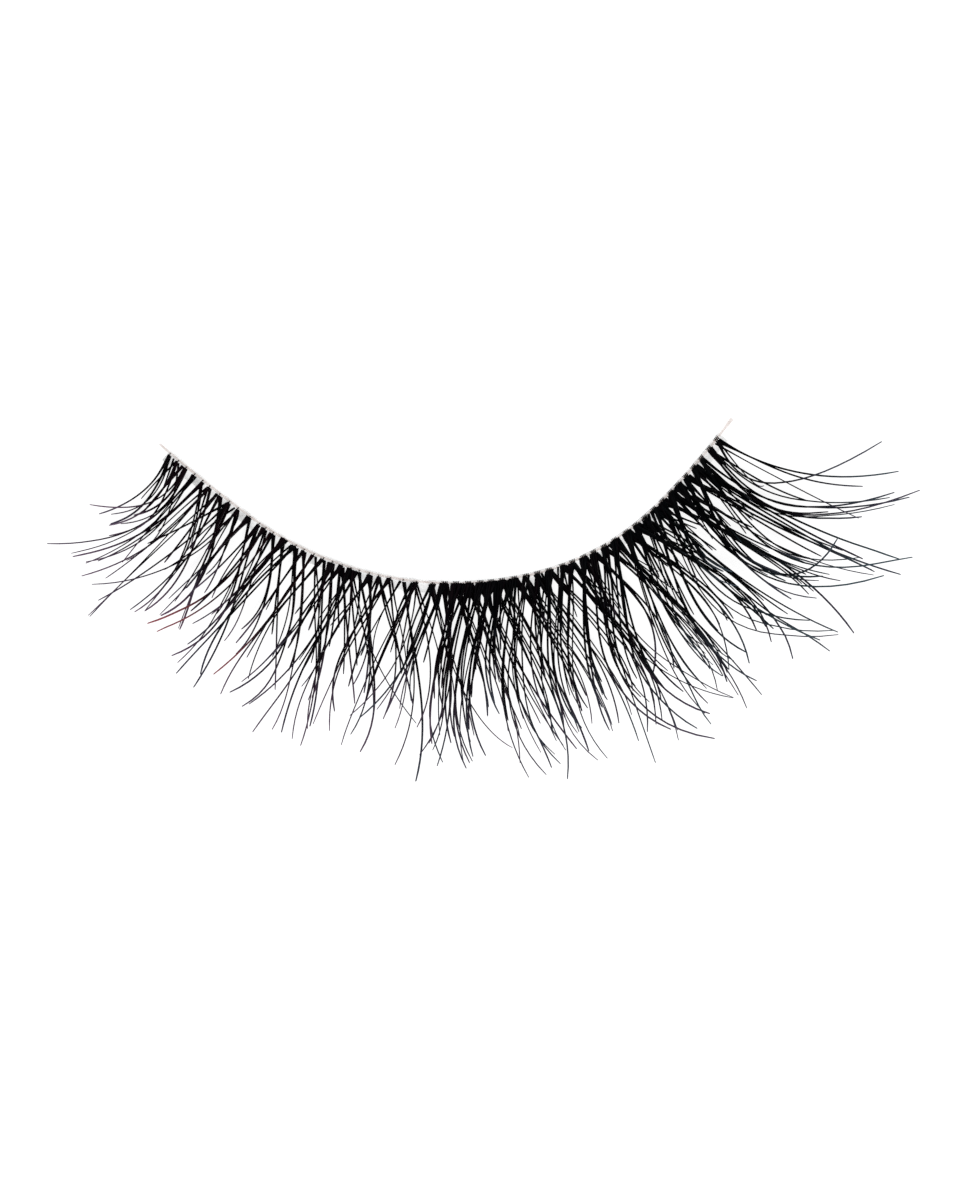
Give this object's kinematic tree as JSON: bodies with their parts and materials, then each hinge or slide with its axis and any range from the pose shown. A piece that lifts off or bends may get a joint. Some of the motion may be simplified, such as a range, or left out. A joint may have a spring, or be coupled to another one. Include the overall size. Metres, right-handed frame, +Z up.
{
  "type": "false eyelash strip",
  "caption": "Strip of false eyelashes: knots of curled black hair tied side by side on a clear curved thread and film.",
  "frame": {"origin": "on the flat underside of the film, below the thread, halfway along the haired stretch", "axes": "+Z up, away from the surface that the film lies on; +X along the strip at its middle, towards the end with the longer hairs; the hairs leave the film towards -Y"},
  "size_m": [0.0434, 0.0181, 0.0059],
  "materials": {
    "hair": "glossy black fibre, brownish where it thins to the tips",
    "clear_film": "clear glue film, slightly milky",
    "clear_thread": "clear filament, slightly cream"
  },
  "bodies": {
    "root": {"band_film": "clear_film", "band_thread": "clear_thread", "hair_knot_01": "hair", "hair_knot_02": "hair", "hair_knot_03": "hair", "hair_knot_04": "hair", "hair_knot_05": "hair", "hair_knot_06": "hair", "hair_knot_07": "hair", "hair_knot_08": "hair", "hair_knot_09": "hair", "hair_knot_10": "hair", "hair_knot_11": "hair", "hair_knot_12": "hair", "hair_knot_13": "hair", "hair_knot_14": "hair", "hair_knot_15": "hair", "hair_knot_16": "hair", "hair_knot_17": "hair", "hair_knot_18": "hair", "hair_knot_19": "hair", "hair_knot_20": "hair", "hair_knot_21": "hair", "hair_knot_22": "hair", "hair_knot_23": "hair", "hair_knot_24": "hair", "hair_knot_25": "hair", "hair_knot_26": "hair", "hair_knot_27": "hair", "hair_knot_28": "hair", "hair_knot_29": "hair", "hair_knot_30": "hair", "hair_knot_31": "hair", "hair_knot_32": "hair", "hair_knot_33": "hair", "hair_knot_34": "hair", "hair_knot_35": "hair", "hair_knot_36": "hair", "hair_knot_37": "hair", "hair_knot_38": "hair", "hair_knot_39": "hair", "hair_knot_40": "hair", "hair_knot_41": "hair", "hair_knot_42": "hair", "hair_knot_43": "hair", "hair_knot_44": "hair", "hair_knot_45": "hair", "hair_knot_46": "hair", "hair_knot_47": "hair", "hair_knot_48": "hair", "hair_knot_49": "hair", "hair_knot_50": "hair", "hair_knot_51": "hair", "hair_knot_52": "hair", "hair_knot_53": "hair", "hair_knot_54": "hair", "hair_knot_55": "hair", "hair_knot_56": "hair"}
  },
  "joints": []
}
